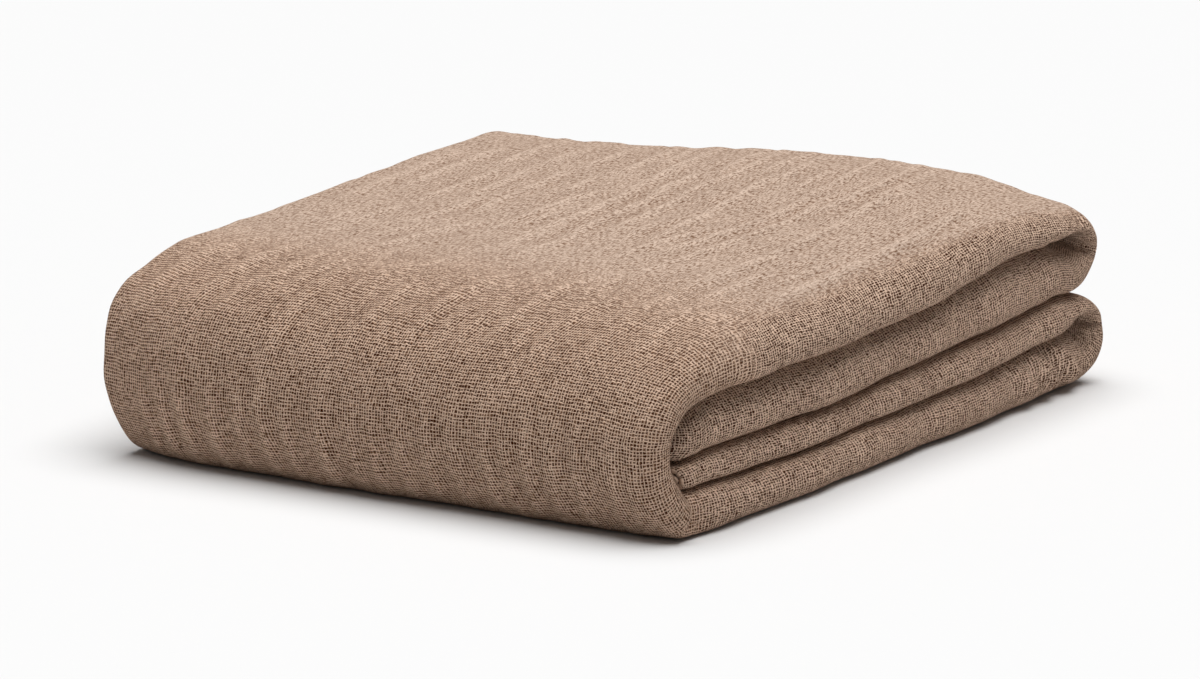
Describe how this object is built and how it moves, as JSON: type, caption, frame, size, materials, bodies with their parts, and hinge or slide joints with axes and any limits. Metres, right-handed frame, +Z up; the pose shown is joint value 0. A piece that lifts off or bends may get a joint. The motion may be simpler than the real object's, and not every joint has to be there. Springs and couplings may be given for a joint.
{
  "type": "swaddle blanket",
  "caption": "Square muslin swaddle blanket, folded into a thick soft bundle with rounded closed edges, resting flat on a surface",
  "frame": {"origin": "Centre of the underside's bounding box, on the surface that the folded blanket rests on", "axes": "+Z up; X along the big front fold, +X towards the rounded closed edges of the layers; the front fold faces -Y and the two back folds +Y"},
  "size_m": [0.2894, 0.325, 0.0834],
  "materials": {
    "muslin": "matte open-weave cotton gauze, lightly crinkled, warm taupe brown"
  },
  "bodies": {
    "root": {"blanket": "muslin"}
  },
  "joints": []
}
